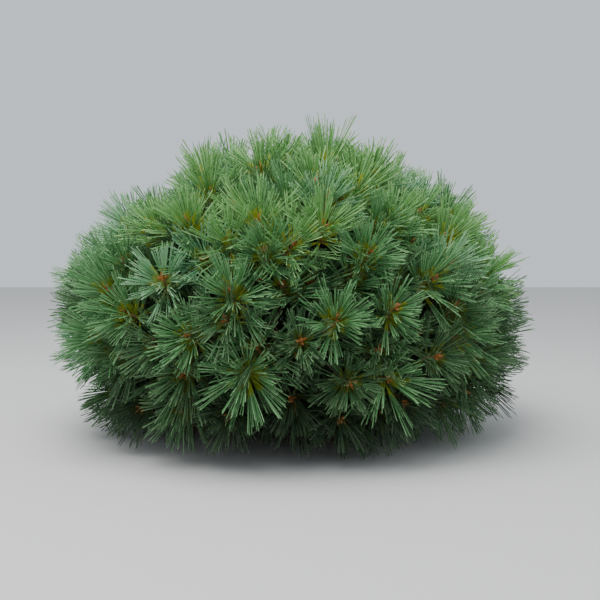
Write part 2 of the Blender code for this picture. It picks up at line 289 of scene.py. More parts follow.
@dataclass(frozen=True)
class Crown:
    """The crown's outline and the rule that spreads its shoots, as in the solids."""

    width: float = 0.770
    depth: float = 0.750
    height: float = 0.495
    widest_height: float = 0.190
    dome_power: float = 1.85
    needle_reach: float = 0.053
    seed: int = 23
    lattice_count: int = 236
    lattice_wander: float = 0.016
    axis_wander: float = 0.16
    axis_lift: float = 0.50
    deepest_shoot: float = 0.090
    depth_power: float = 3
    lowest_shoot: float = 0.048
    needle_lengths: Span = (0.048, 0.062)
    front_shoot_room: float = 0.052
    # How much longer single needles are than the solids' faceted sprays, away from the front
    outgrowth: float = 1.24
    # Finer shoots between and just behind the others, and shaded ones that close the crown against the light
    finer: Filling = Filling(51, 640, (0.004, 0.090), (0.040, 0.056), 0.034)
    inner: Filling = Filling(87, 300, (0.090, 0.190), (0.044, 0.058), 0.036)
    # Shoots that stand out in front: degrees from -Y towards +X, height, needle length
    front: tuple[Triple, ...] = (
        (-10, 0.134, 0.068), (15, 0.121, 0.052), (11, 0.208, 0.056), (25, 0.220, 0.052),
        (3, 0.180, 0.046), (21, 0.292, 0.060), (10, 0.326, 0.064), (-23, 0.183, 0.060),
        (-13, 0.240, 0.066), (-31, 0.075, 0.064), (38, 0.150, 0.060), (-32, 0.332, 0.060),
        (35, 0.339, 0.060), (47, 0.278, 0.062), (-16, 0.072, 0.058), (65, 0.438, 0.064),
    )

    def outline(self, azimuths: Array, rises: Array, insets: Array) -> Array:
        """Points of the outline, a superellipse of the dome's power turned round the plant.

        Args:
            azimuths: angles round the plant, from +X.
            rises: from -1 below to 1 on top.
            insets: how far inside the outline they lie.

        Returns:
            The points.
        """
        reach = (1 - np.abs(rises) ** self.dome_power) ** (1 / self.dome_power)
        return np.column_stack([
            (self.width / 2 - insets) * reach * np.cos(azimuths),
            (self.depth / 2 - insets) * reach * np.sin(azimuths),
            self.widest_height + (self.height - self.widest_height - insets) * rises,
        ])

    def growth_axes(self, places: Array) -> Array:
        """The way shoots point: straight out of the outline, lifted towards the light.

        Args:
            places: the shoots' places.

        Returns:
            A unit vector for each.
        """
        spans = np.array([self.width, self.depth, 2 * (self.height - self.widest_height)])
        outwards = unit((places - UP * self.widest_height) / spans**2)
        lift = self.axis_lift * np.minimum(1.0, places[:, 2] / self.widest_height)
        return unit(outwards + UP * lift[:, None])

    def front_shoots(self) -> Shoots:
        """The shoots that stand out in front.

        Returns:
            One shoot for each row of the list.
        """
        degrees, heights, needles = np.array(self.front).T
        rises = (heights - self.widest_height) / (self.height - self.widest_height - self.needle_reach)
        insets = np.full(len(rises), self.needle_reach)
        places = self.outline(np.radians(degrees - 90), np.minimum(rises, 1), insets)
        return Shoots(places, self.growth_axes(places), needles, np.zeros(len(rises)))

    def lattice(self, count: int, depths: Array, turn: float = 0.0) -> Array:
        """Places spread over the outline by the golden angle, each at its own depth."""
        nth = np.arange(count)
        return self.outline(nth * GOLDEN_ANGLE + turn, 1 - (2 * nth + 1) / count, self.needle_reach + depths)

    def lattice_shoots(self, taken: Shoots) -> Shoots:
        """Shoots on the main lattice, moved and tilted a little.

        Args:
            taken: shoots that the others keep clear of.

        Returns:
            The shoots that are high enough and clear of those that are taken.
        """
        # Of each shoot's eight draws three move it, three tilt it, one sets its depth and one its needles
        draws = np.random.default_rng(self.seed).random((self.lattice_count, 8))
        wander = (2 * draws[:, :3] - 1) * self.lattice_wander
        tilt = (2 * draws[:, 3:6] - 1) * self.axis_wander
        depths = self.deepest_shoot * draws[:, 6] ** self.depth_power
        shortest, longest = self.needle_lengths
        needles = (shortest + (longest - shortest) * draws[:, 7]) * self.outgrowth
        surface = self.lattice(self.lattice_count, depths)
        outwards = self.growth_axes(surface)
        places = surface + wander - part_along(wander, outwards)
        axes = unit(self.growth_axes(places) + tilt)
        apart = measure(places[:, None] - taken.places[None]).min(axis=1)
        kept = (places[:, 2] >= self.lowest_shoot) & (apart >= self.front_shoot_room)
        return Shoots(places, axes, needles, depths).only(kept)

    def filling_shoots(self, taken: Shoots, filling: Filling) -> Shoots:
        """Shoots on a further lattice, each clear of all that grew before it.

        Args:
            taken: the shoots that grew before.
            filling: the lattice.

        Returns:
            The shoots that found room.
        """
        random = np.random.default_rng(filling.seed)
        depths = random.uniform(*filling.insets, filling.count)
        surface = self.lattice(filling.count, depths, filling.turn)
        places = surface + random.uniform(-self.lattice_wander, self.lattice_wander, surface.shape)
        tilt = random.uniform(-filling.axis_wander, filling.axis_wander, surface.shape)
        axes = unit(self.growth_axes(places) + tilt)
        needles = random.uniform(*filling.needles, filling.count) * self.outgrowth
        grown, kept = taken.places, []
        for number in np.flatnonzero(places[:, 2] >= filling.lowest):
            if measure(grown - places[number]).min() >= filling.room:
                grown = np.vstack([grown, places[number]])
                kept.append(number)
        return Shoots(places, axes, needles, depths).only(np.array(kept))


@dataclass(frozen=True)
class Masses:
    """The spaces of the masses of foliage: each is what lies nearest to its middle."""

    crown: Crown
    shoot_margin: float = 0.0075
    # Each level ring of masses: its name, how many, their elevation and the first one's azimuth, in degrees
    rings: tuple[tuple[str, int, float, float], ...] = (("high", 6, 40, -78), ("low", 10, -9, -90))

    def names(self) -> list[str]:
        """The masses' names: top, then each ring's."""
        return ["top", *(f"{name}_{nth + 1:02d}" for name, count, *_ in self.rings for nth in range(count))]

    def middles(self) -> Array:
        """The middle of each mass's space, on top and on the level rings round the plant.

        Returns:
            The middles, in the order of the names.
        """
        azimuths, rises = [0.0], [1.0]
        for _, count, elevation, start in self.rings:
            azimuths += list(math.radians(start) + full_turn(count))
            rises += [math.sin(math.radians(elevation))] * count
        insets = np.full(len(rises), self.crown.needle_reach)
        return self.crown.outline(np.array(azimuths), np.array(rises), insets)

    def nearest(self, places: Array) -> Array:
        """The number of the mass whose middle is nearest to each place."""
        return measure(places[:, None] - self.middles()[None]).argmin(axis=1)

    def moved_in(self, places: Array, number: int) -> Array:
        """Places moved away from each wall of a mass's space that is nearer than the margin.

        Args:
            places: places in the space.
            number: the mass's number.

        Returns:
            The moved places.
        """
        middles = self.middles()
        own = middles[number]
        for other in np.delete(middles, number, axis=0):
            inwards = unit(own - other)
            short = self.shoot_margin - (places - (own + other) / 2) @ inwards
            places = places + np.maximum(short, 0)[:, None] * inwards
        return places


@dataclass
class Limb:
    """A trunk, bough or twig as its middle line, with a radius at each point."""

    points: Array
    radii: Array


@dataclass(frozen=True)
class Trunk:
    """The trunk: its lean, bend, taper, root flare and bark."""

    height: float = 0.262
    foot_radius: float = 0.0235
    tip_radius: float = 0.0070
    taper_power: float = 0.8
    flare_reach: float = 0.015
    flare_height: float = 0.024
    flare_roots: int = 5
    between_roots: float = 0.15
    lean: Span = (0.010, -0.006)
    sway: Span = (0.004, -0.002)
    line_points: int = 24
    sides: int = 96
    rings: int = 150
    ring_power: float = 1.3
    seed: int = 7
    # Bark: how deep its cracks are, and the shares of the long cracks, the cross cracks and the grain
    crack_depth: float = 0.0011
    crack_shares: Triple = (0.55, 0.3, 0.15)
    long_cracks: float = 8
    long_sharpness: float = 3
    cross_cracks: float = 190
    cross_sharpness: float = 4
    cross_swing: float = 2
    cross_swings: float = 3
    # Waves over the bark: share, waves for each metre of height, waves once round
    wander: tuple[Triple, ...] = ((0.6, 70, 2), (0.5, 160, -3))
    grain: tuple[Triple, ...] = ((0.25, 300, 21), (0.25, 470, -9))

    def middle(self, heights: Array) -> Array:
        """The trunk's middle: lean times the height's share squared, plus half a sine wave of sway.

        Args:
            heights: the heights.

        Returns:
            The middle at each height.
        """
        share = heights / self.height
        bend = np.sin(math.pi * share)
        x, y = (lean * share**2 + sway * bend for lean, sway in zip(self.lean, self.sway))
        return np.stack([x, y, heights], axis=-1)

    def radius(self, heights: Array) -> Array:
        """The trunk's taper, without the flare."""
        share = (heights / self.height) ** self.taper_power
        return self.foot_radius + (self.tip_radius - self.foot_radius) * share

    def limb(self) -> Limb:
        """The trunk's middle line and taper."""
        heights = np.linspace(0, self.height, self.line_points)
        return Limb(self.middle(heights), self.radius(heights))

    def cracks(self, tall: Array, turned: Array) -> Array:
        """How deep the bark is cut, from 0 to 1.

        Long cracks are ridges of a wandering angle, cross cracks are ridges of a height that swings up and
        down round the trunk, and the grain is a sum of fine waves.

        Args:
            tall: the height of each corner.
            turned: the angle of each corner.

        Returns:
            The depth at each corner.
        """
        phases = np.random.default_rng(self.seed).uniform(0, 2 * math.pi, 4)
        wander, grain = (
            sum(share * np.sin(up * tall + turns * turned + phase) for (share, up, turns), phase in waves)
            for waves in (zip(self.wander, phases[:2]), zip(self.grain, (phases[3], 0)))
        )
        swing = self.cross_swing * np.sin(self.cross_swings * turned + phases[2])
        long_cracks = ridge(self.long_cracks * turned + wander, self.long_sharpness)
        cross_cracks = ridge(self.cross_cracks * tall + swing + wander, self.cross_sharpness)
        long_share, cross_share, grain_share = self.crack_shares
        return long_share * long_cracks + cross_share * cross_cracks + grain_share * (0.5 + grain)

    def surface(self) -> Surface:
        """The trunk's bark: level rings of radius + flare * lobes - cracks.

        The lobes are a cosine with one wave for each root, and the flare dies away with height.

        Returns:
            The closed surface.
        """
        heights = self.height * np.linspace(0, 1, self.rings) ** self.ring_power
        tall, turned = np.meshgrid(heights, full_turn(self.sides), indexing="ij")
        lobe = (1 + np.cos(self.flare_roots * turned)) / 2
        flare = self.flare_reach * np.exp(-tall / self.flare_height)
        smooth = self.radius(tall) + flare * (self.between_roots + (1 - self.between_roots) * lobe)
        reach = smooth - self.crack_depth * self.cracks(tall, turned)
        middles = self.middle(heights)
        rings = middles[:, None] + around(turned, ACROSS, np.cross(UP, ACROSS)) * reach[:, :, None]
        return closed_rings(rings, middles[0], middles[-1], np.zeros(self.rings - 1))


@dataclass(frozen=True)
class Boughs:
    """The two whorls of boughs and their bark."""

    trunk: Trunk
    low_roots: Span = (0.044, 0.078)
    high_roots: Span = (0.126, 0.158)
    share: float = 0.56
    low_radius: float = 0.0072
    high_radius: float = 0.0066
    tip_radius: float = 0.0044
    rise: float = math.radians(14)
    handles: Span = (0.45, 0.30)
    spans: int = 56
    sides: int = 30
    collar: float = 0.45
    collar_length: float = 0.010
    seed: int = 11
    # Bark: scales and furrows by their waves once round and for each metre along
    scale_depth: float = 0.055
    scales_round: float = 4
    scales_along: float = 420
    furrow_depth: float = 0.033
    furrow_sharpness: float = 3
    furrows_round: float = 2.5
    furrows_along: float = 35

    def limb(self, name: str, middle: Array) -> Limb:
        """A cubic curve from the trunk, a little above level, up towards the middle of its mass.

        Args:
            name: the mass's name.
            middle: the middle of the mass's space.

        Returns:
            The bough's middle line and its straight taper.
        """
        whorl, number = name.split("_")
        low = whorl == "low"
        heights, base = (self.low_roots, self.low_radius) if low else (self.high_roots, self.high_radius)
        root = self.trunk.middle(np.array([heights[int(number) % len(heights)]]))[0]
        tip = root + (middle - root) * self.share
        span = np.linalg.norm(tip - root)
        level = unit((middle - root) * (1 - UP))
        leaving = level * math.cos(self.rise) + UP * math.sin(self.rise)
        entering = unit(middle - tip)
        near, far = self.handles
        corners = np.array([root, root + leaving * near * span, tip - entering * far * span, tip])
        along = np.linspace(0, 1, self.spans + 1)[:, None]
        weights = np.hstack([math.comb(3, k) * along**k * (1 - along) ** (3 - k) for k in range(4)])
        return Limb(weights @ corners, base + (self.tip_radius - base) * along[:, 0])

    def surface(self, limb: Limb, number: int) -> Surface:
        """A bough's bark: a tube with a collar that dies away from its root, scales and furrows.

        The scales are a product of two waves that climb round the bough in opposite ways. The furrows are
        ridges of a slowly climbing angle.

        Args:
            limb: the bough's middle line.
            number: which bough, for its own phases.

        Returns:
            The closed surface.
        """
        phases = np.random.default_rng(self.seed + number).uniform(0, 2 * math.pi, 3)
        steps = measure(np.diff(limb.points, axis=0))
        along = np.concatenate([[0], np.cumsum(steps)])[:, None]
        angles = full_turn(self.sides)[None]
        turned, climbed = self.scales_round * angles, self.scales_along * along
        scales = np.sin(turned + climbed + phases[0]) * np.sin(turned - climbed + phases[1])
        furrow_angles = self.furrows_round * angles + self.furrows_along * along + phases[2]
        furrows = ridge(furrow_angles, self.furrow_sharpness)
        relief = -self.scale_depth * (1 + scales) / 2 - self.furrow_depth * furrows
        radii = limb.radii * (1 + self.collar * np.exp(-along[:, 0] / self.collar_length))
        return tube(limb.points, radii, self.sides, np.zeros(len(steps)), relief)


@dataclass
class Twig(Limb):
    """A twig and the number of the shoot that ends it."""

    shoot: int


@dataclass(frozen=True)
class TwigRule:
    """How a mass's stem forks into twigs, as in the solids, and how finer twigs grow on."""

    stem_length: float = 0.0132
    stem_share: float = 0.95
    shoot_radius: float = 0.0017
    power: float = 0.38
    fork_share: float = 0.42
    fork_taper: float = 0.9
    side_share: float = 0.5
    straight_end: float = 0.026
    end_swelling: float = 1.1
    fork_behind: float = 0.062
    finer_radii: Triple = (0.0014950, 0.0013650, 0.0011700)
    finer_sag: float = 0.12
    sides: int = 6
    steps: int = 4
    young_length: float = 0.034

    def radius(self, count: int) -> float:
        """The radius of a twig that feeds this many shoots."""
        return self.shoot_radius * count**self.power

    def grow(self, start: Array, start_radius: float, places: Array, numbers: Array) -> list[Twig]:
        """One twig that runs on through every fork, and those that leave it.

        At each fork the shoots part in two groups along their longest spread. The twig runs on to the group
        that lies more nearly ahead.

        Args:
            start: where the twig starts.
            start_radius: its radius there.
            places: the places of all shoots.
            numbers: the shoots that this twig feeds.

        Returns:
            The twigs.
        """
        points, radii, leaving, ahead = [start], [start_radius], [], numbers
        while len(ahead) > 1:
            middle = places[ahead].mean(axis=0)
            fork = points[-1] + (middle - points[-1]) * self.fork_share
            way = unit(fork - points[-1])
            points.append(fork)
            radii.append(self.radius(len(ahead)) * self.fork_taper)
            longest_spread = np.linalg.svd(places[ahead] - middle)[2][0]
            order = np.argsort(places[ahead] @ longest_spread)
            half = len(ahead) // 2
            groups = [ahead[order[:half]], ahead[order[half:]]]
            turns = [unit(places[group].mean(axis=0) - fork) @ way for group in groups]
            on = int(turns[1] > turns[0])
            leaving.append((fork, radii[-1] * self.side_share, groups[1 - on]))
            ahead = groups[on]
        points.append(places[ahead[0]])
        radii.append(self.radius(1))
        twigs = [Twig(np.array(points), np.array(radii), int(ahead[0]))]
        for fork, radius, group in leaving:
            twigs += self.grow(fork, radius, places, group)
        return twigs

    def finer(self, grown: list[Twig], place: Array, axis: Array, number: int) -> Twig:
        """A finer twig to a shoot, from the fork that lies best behind it.

        It is a curve through three points: the fork, a point that sags halfway, and the shoot.

        Args:
            grown: the twigs that are there.
            place: the shoot's place.
            axis: the way the shoot points.
            number: the shoot's number.

        Returns:
            The twig.
        """
        behind = place - axis * self.straight_end
        forks = np.concatenate([twig.points[:-1] for twig in grown])
        apart = measure(forks - (place - axis * self.fork_behind))
        root = forks[apart.argmin()]
        halfway = (root + behind) / 2 - UP * self.finer_sag * np.linalg.norm(behind - root)
        return Twig(np.array([root, halfway, place]), np.array(self.finer_radii), number)

    def surface(self, twig: Twig, axis: Array) -> Surface:
        """The twig as a smooth tube whose end runs straight along the shoot's axis, young bark last.

        Args:
            twig: the twig's line and radii.
            axis: the way its shoot points.

        Returns:
            The closed surface.
        """
        end = twig.points[-1] - axis * self.straight_end
        points = np.vstack([twig.points[:-1], end, twig.points[-1]])
        radii = np.concatenate([twig.radii[:-1], twig.radii[-1] * np.array([self.end_swelling, 1])])
        rows = smooth_line(np.column_stack([points, radii]), self.steps)
        line, widths = rows[:, :3], rows[:, 3]
        to_tip = measure(line[:-1] - twig.points[-1])
        return tube(line, widths, self.sides, (to_tip < self.young_length).astype(int))


@dataclass(frozen=True)
class PlainFinish:
    """One colour with its own roughness and shine."""

    name: str
    colour: Triple
    roughness: float
    specular: float = 0.5

    def material(self) -> Material:
        """The finish as a material.

        Returns:
            The material.
        """
        material = bpy.data.materials.new(self.name)
        material.use_nodes = True
        inputs = material.node_tree.nodes[SHADER].inputs
        inputs["Base Color"].default_value = (*self.colour, 1)
        inputs["Roughness"].default_value = self.roughness
        inputs["Specular IOR Level"].default_value = self.specular
        return material


OLD_TWIG = PlainFinish("old_twig", (0.115, 0.080, 0.055), 0.85)
YOUNG_TWIG = PlainFinish("young_twig", (0.330, 0.150, 0.055), 0.65)
BUD = PlainFinish("bud", (0.400, 0.155, 0.045), 0.5)
PALE_FLOOR = PlainFinish("pale_floor", (0.62, 0.61, 0.59), 0.9)


class Tint(Enum):
    """The needles' tints: each as three colours, for the foot, the outer face and the paler inner faces."""

    # The first four tints are painted shade and painted light on the needles' green: darker for shoots low
    # down and deep inside, lighter for shoots high up. BLUE and PALE are the second-lightest and the lightest
    # of them turned bluer, and BROWN is dead needles.
    SHADE = ((0.060, 0.085, 0.022), (0.020, 0.056, 0.022), (0.064, 0.108, 0.052))
    DEEP = ((0.140, 0.195, 0.028), (0.036, 0.114, 0.037), (0.118, 0.216, 0.098))
    MIDDLE = ((0.270, 0.340, 0.032), (0.058, 0.203, 0.058), (0.175, 0.355, 0.152))
    FRESH = ((0.430, 0.480, 0.040), (0.110, 0.305, 0.068), (0.255, 0.475, 0.175))
    BLUE = ((0.230, 0.350, 0.065), (0.062, 0.228, 0.095), (0.200, 0.402, 0.215))
    PALE = ((0.340, 0.450, 0.095), (0.112, 0.312, 0.132), (0.290, 0.500, 0.280))
    BROWN = ((0.120, 0.070, 0.035), (0.100, 0.060, 0.035), (0.150, 0.095, 0.060))


TINTS = list(Tint)
ZONES = ("foot", "outer", "inner")


@dataclass(frozen=True)
class NeedleFinish:
    """Waxy needles with a satin surface."""

    roughness: float = 0.50
    specular: float = 0.30

    def materials(self) -> list[Material]:
        """The needles' materials.

        Returns:
            One for each zone of each tint, in their order.
        """
        shine = self.roughness, self.specular
        return [
            PlainFinish(f"needle_{tint.name.lower()}_{zone}", colour, *shine).material()
            for tint in TINTS
            for zone, colour in zip(ZONES, tint.value)
        ]


@dataclass(frozen=True)
class TintRule:
    """How tints are dealt out to the shoots.

    Light grows with a shoot's height and falls with its depth, and picks a tint from SHADE to the lightest
    green: painted shade for shoots low down and deep inside, painted light for those high up. Towards the two
    sides and the top, MIDDLE turns to BLUE and the lightest green to PALE. Low inside, some shoots are BROWN.
    """

    start: float = 0.1
    by_height: float = 4.2
    by_depth: float = 26
    wander: float = 0.38
    # How likely a bluer tint is: anywhere, and its growth and start towards the sides and the top
    bluer: float = 0.04
    bluer_aside: Span = (0.9, 0.35)
    bluer_above: Span = (0.5, 0.55)
    dead_depth: float = 0.06
    dead_height: float = 0.30
    dead_share: float = 0.6

    def deal(self, shoots: Shoots, crown: Crown, random: np.random.Generator) -> Array:
        """The number of each shoot's tint.

        Args:
            shoots: the shoots.
            crown: the crown that they are in.
            random: the seeded draws.

        Returns:
            The place of each shoot's tint in the list of tints.
        """
        count = len(shoots.depths)
        height = shoots.places[:, 2] / crown.height
        aside = np.abs(shoots.places[:, 0]) / (crown.width / 2)
        shade, middle, lit, blue, brown = (
            TINTS.index(tint) for tint in (Tint.SHADE, Tint.MIDDLE, Tint.FRESH, Tint.BLUE, Tint.BROWN)
        )
        # Painted light and shade: the higher the shoot, the lighter its green, and the deeper inside, the
        # darker
        light = height * self.by_height - shoots.depths * self.by_depth
        light = light + random.normal(0, self.wander, count) + self.start
        tints = np.clip(np.round(light), shade, lit).astype(int)
        likely = self.bluer
        for (growth, start), share in ((self.bluer_aside, aside), (self.bluer_above, height)):
            likely = likely + growth * np.clip(share - start, 0, 1)
        bluer = (random.random(count) < likely) & (tints >= middle)
        tints = np.where(bluer, tints + blue - middle, tints)
        low_inside = (shoots.depths > self.dead_depth) & (height < self.dead_height)
        return np.where(low_inside & (random.random(count) < self.dead_share), brown, tints)


@dataclass(frozen=True)
class BarkFinish:
    """Grey-brown bark: plates lighter than the cracks between them, with lichen flecks and a rough face."""

    crack: Triple = (0.030, 0.020, 0.015)
    plate: Triple = (0.150, 0.105, 0.078)
    plate_edge: float = 0.22
    lichen: Triple = (0.240, 0.215, 0.185)
    lichen_edges: Span = (0.48, 0.66)
    upright_scale: float = 0.45
    plate_scale: float = 95.0
    lichen_scale: float = 60.0
    grain_scale: float = 420.0
    grain_detail: float = 5
    grain_share: float = 0.55
    bump: float = 0.45
    bump_depth: float = 0.0012
    roughness: float = 0.88

    def material(self) -> Material:
        """The bark's material.

        Object coordinates, stretched along Z, drive cells for the plates and noise for the lichen and the
        grain. The plates and the grain together drive the bump.

        Returns:
            The material.
        """
        material = PlainFinish("pine_bark", self.plate, self.roughness).material()
        nodes, links = material.node_tree.nodes, material.node_tree.links
        shader = nodes[SHADER]

        def node(kind: str, output: str, stops: Iterable = (), **values: object) -> bpy.types.NodeSocket:
            """A new node's output.

            Args:
                kind: the kind of node.
                output: the name of the output.
                stops: the positions and colours of a ramp's two stops.
                values: the node's settings, and a value or another node's output for each input named.

            Returns:
                The output.
            """
            made = nodes.new(f"ShaderNode{kind}")
            for name, value in values.items():
                if hasattr(made, name):
                    setattr(made, name, value)
                elif isinstance(value, bpy.types.NodeSocket):
                    links.new(value, made.inputs[name])
                else:
                    made.inputs[name].default_value = value
            for number, (position, colour) in enumerate(stops):
                made.color_ramp.elements[number].position = position
                made.color_ramp.elements[number].color = (*colour, 1)
            return made.outputs[output]

        place = node("TexCoord", "Object")
        place = node("Mapping", "Vector", Vector=place, Scale=(1, 1, self.upright_scale))
        gap = node("TexVoronoi", "Distance", feature="DISTANCE_TO_EDGE", Vector=place, Scale=self.plate_scale)
        patches = node("TexNoise", "Fac", Vector=place, Scale=self.lichen_scale)
        grain = node("TexNoise", "Fac", Vector=place, Scale=self.grain_scale, Detail=self.grain_detail)
        plates = node("ValToRGB", "Color", [(0, self.crack), (self.plate_edge, self.plate)], Fac=gap)
        lichen = node("ValToRGB", "Color", zip(self.lichen_edges, ((0, 0, 0), (1, 1, 1))), Fac=patches)
        flecked = node("MixRGB", "Color", Fac=lichen, Color1=plates, Color2=(*self.lichen, 1))
        grained = node(
            "MixRGB", "Color", blend_type="OVERLAY", Fac=self.grain_share, Color1=flecked, Color2=grain
        )
        height = node("Math", "Value", operation="ADD")
        for socket, value in zip(height.node.inputs, (plates, grain)):
            links.new(value, socket)
        bump = node("Bump", "Normal", Strength=self.bump, Distance=self.bump_depth, Height=height)
        links.new(grained, shader.inputs["Base Color"])
        links.new(bump, shader.inputs["Normal"])
        return material


@dataclass
class Foliage:
    """Needles in bundles of five round each shoot, inside the solids' box."""

    box: Array
    seed: int = 77
    # Bundles on a shoot: how many on a main, finer and inner one, where they leave it and how they spread
    bundles: tuple[int, int, int] = (42, 32, 18)
    bearing_length: float = 0.026
    bearing_radius: float = 0.0016
    tip_spread: float = math.radians(20)
    foot_spread: float = math.radians(90)
    upright_narrowing: float = 0.30
    wander: float = 0.22
    length_spread: Span = (0.74, 1.12)
    stretch: float = 1.06
    # Needles in a bundle
    in_bundle: int = 5
    bundle_foot: float = 0.0005
    bundle_wander: float = 0.25
    bundle_splay: float = math.radians(2.5)
    splay_spread: Span = (0.4, 1.5)
    needle_spread: Span = (0.9, 1.05)
    outward_bend: float = 0.06
    droop: float = 0.11
    droop_spread: Span = (0.1, 1.0)
    # One needle
    knee: float = 0.40
    knee_width: float = 0.00060
    tip_width: float = 0.00062
    slant: float = 0.05
    margin: float = 0.0015
    shortest_share: float = 0.35
    random: np.random.Generator = field(init=False)

    def __post_init__(self) -> None:
        """Starts the seeded draws."""
        self.random = np.random.default_rng(self.seed)

    def bundle_lines(self, shoots: Shoots, counts: Array) -> tuple[Array, ...]:
        """Where each bundle starts and the way it points.

        A bundle starts down its shoot by the bearing length times the root of its share, turned by the golden
        angle from the one before. It leaves the axis by an angle that grows with that share, from the tip's
        spread to the foot's, which is narrower on upright shoots.

        Args:
            shoots: the shoots.
            counts: how many bundles each carries.

        Returns:
            The bundles' shoots, starts, ways and lengths.
        """
        owner = np.repeat(np.arange(len(counts)), counts)
        order = np.arange(len(owner)) - np.repeat(np.cumsum(counts) - counts, counts)
        share = (order + self.random.random(len(owner))) / counts[owner]
        first, second = square_to(shoots.axes)
        turn = order * GOLDEN_ANGLE + self.random.normal(0, self.wander, len(owner)) + owner
        outwards = around(turn, first[owner], second[owner])
        axes = shoots.axes[owner]
        widest = self.foot_spread * (1 - self.upright_narrowing * np.maximum(axes[:, 2], 0))
        spread = self.tip_spread + (widest - self.tip_spread) * share
        spread = spread + self.random.normal(0, self.wander, len(owner))
        down = self.bearing_length * np.sqrt(share)
        starts = shoots.places[owner] - axes * down[:, None] + outwards * self.bearing_radius
        lengths = shoots.needles[owner] * self.random.uniform(*self.length_spread, len(owner)) * self.stretch
        return owner, starts, unit(around(spread, axes, outwards)), lengths

    def fitting_share(self, starts: Array, reaches: Array) -> Array:
        """How much of each needle fits into the solids' box.

        Args:
            starts: where the needles start.
            reaches: the step from each start to its tip.

        Returns:
            The smallest share of the step at which it meets a wall, or 1.
        """
        low, high = self.box[0] + self.margin, self.box[1] - self.margin
        with np.errstate(divide="ignore", invalid="ignore"):
            room = np.where(reaches > 0, (high - starts) / reaches, (low - starts) / reaches)
        room = np.where(np.abs(reaches) < LEAST_REACH, 1.0, room)
        return np.clip(room.min(axis=1), 0, 1)

    def needle_lines(self, shoots: Shoots, counts: Array) -> tuple[Array, ...]:
        """The middle line of each needle: start + way * t + bend * t squared, with t from 0 to 1.

        The needles of a bundle start in a small ring and splay. Each bends a little outwards and droops by
        how level it lies. It is cut short where it would leave the box, or left out if little would stay.

        Args:
            shoots: the shoots.
            counts: how many bundles each carries.

        Returns:
            The needles' shoots, starts, ways with their length, bends and outward directions.
        """
        owner, starts, ways, lengths = self.bundle_lines(shoots, counts)
        bundle = np.repeat(np.arange(len(owner)), self.in_bundle)
        count = len(bundle)
        first, second = square_to(ways)
        turn = np.tile(full_turn(self.in_bundle), len(owner)) + bundle
        turn = turn + self.random.normal(0, self.bundle_wander, count)
        outwards = around(turn, first[bundle], second[bundle])
        splay = self.bundle_splay * self.random.uniform(*self.splay_spread, count)
        way = unit(ways[bundle] + outwards * np.tan(splay)[:, None])
        length = lengths[bundle] * self.random.uniform(*self.needle_spread, count)
        start = starts[bundle] + outwards * self.bundle_foot
        bending = self.random.uniform(0, self.outward_bend, count)
        level = measure(way[:, :2])
        drooping = self.droop * self.random.uniform(*self.droop_spread, count) * level
        bend = length[:, None] * (outwards * bending[:, None] - UP * drooping[:, None])
        way = way * length[:, None]
        share = self.fitting_share(start, way + bend)
        kept = share > self.shortest_share
        share = share[kept, None]
        return owner[bundle][kept], start[kept], way[kept] * share, bend[kept] * share, outwards[kept]

    def surface(self, shoots: Shoots, counts: Array, tints: Array) -> Surface:
        """The needles of these shoots.

        A needle is a closed three-sided blade: a point at its start, a ring of three corners at the knee, and
        a slanted ring at its end, closed by one triangle. One edge of each ring looks in to the bundle's
        middle, so that the outer face is green and the two inner faces are paler.

        Args:
            shoots: the shoots.
            counts: how many bundles each carries.
            tints: the number of each shoot's tint.

        Returns:
            The needles, with a finish for each zone of each tint.
        """
        owner, start, way, bend, outwards = self.needle_lines(shoots, counts)
        along = unit(way)
        outer = unit(outwards - part_along(outwards, along))
        side = np.cross(along, outer)
        ring = around(math.pi + full_turn(3)[None], outer[:, None], side[:, None])
        knee = start + way * self.knee + bend * self.knee**2
        tip = start + way + bend
        ends = tip[:, None] - way[:, None] * self.slant * np.array([0, 1, 1])[:, None]
        corners = np.concatenate(
            [start[:, None], knee[:, None] + ring * self.knee_width, ends + ring * self.tip_width], axis=1
        )
        triangles = np.array([
            (0, 2, 1), (0, 3, 2), (0, 1, 3), (1, 2, 5), (1, 5, 4), (2, 3, 6), (2, 6, 5), (3, 1, 4), (3, 4, 6),
            (4, 5, 6),
        ])
        foot, outer_face, inner_face = range(len(ZONES))
        zones = np.repeat([foot, inner_face, outer_face, inner_face], [3, 2, 2, 3])
        shifts = corners.shape[1] * np.arange(len(start))[:, None, None]
        return Surface(
            corners.reshape(-1, 3),
            (triangles + shifts).reshape(-1, 3),
            (len(ZONES) * tints[owner][:, None] + zones).ravel(),
        )


@dataclass(frozen=True)
class Buds:
    """Pointed winter buds in the middle of each shoot."""

    length: float = 0.0125
    radius: float = 0.0029
    sides: int = 7
    beside: int = 4
    beside_share: float = 0.68
    beside_tilt: float = math.radians(38)
    beside_reach: float = 0.0026
    # A bud's outline: height and radius, as shares of its own
    profile: tuple[Span, ...] = ((-0.25, 0.55), (0.05, 0.95), (0.35, 1.0), (0.65, 0.68), (0.88, 0.25))

    def surface(self, place: Array, axis: Array, size: float = 1.0) -> Surface:
        """One bud: a turned profile of height and radius along an axis, closed at both ends.

        Args:
            place: where the bud sits.
            axis: the way it points.
            size: its size, as a share of the middle bud's.

        Returns:
            The bud.
        """
        rises, widths = np.array(self.profile).T
        middles = place + axis * (rises * self.length * size)[:, None]
        circle = around(full_turn(self.sides), *square_to(axis[None]))
        rings = middles[:, None] + circle * (widths * self.radius * size)[:, None, None]
        return closed_rings(rings, middles[0], place + axis * self.length * size, np.zeros(len(rises) - 1))

    def cluster(self, place: Array, axis: Array, turn: float) -> Surface:
        """The middle bud and a ring of smaller ones that lean away from it.

        Args:
            place: the shoot's tip.
            axis: the way the shoot points.
            turn: where the ring of buds starts, as an angle round the shoot.

        Returns:
            The buds.
        """
        parts = [self.surface(place, axis)]
        for aside in around(turn + full_turn(self.beside), *square_to(axis[None])):
            leaning = axis * math.cos(self.beside_tilt) + aside * math.sin(self.beside_tilt)
            parts.append(self.surface(place + aside * self.beside_reach, leaning, self.beside_share))
        return Surface.joined(parts)


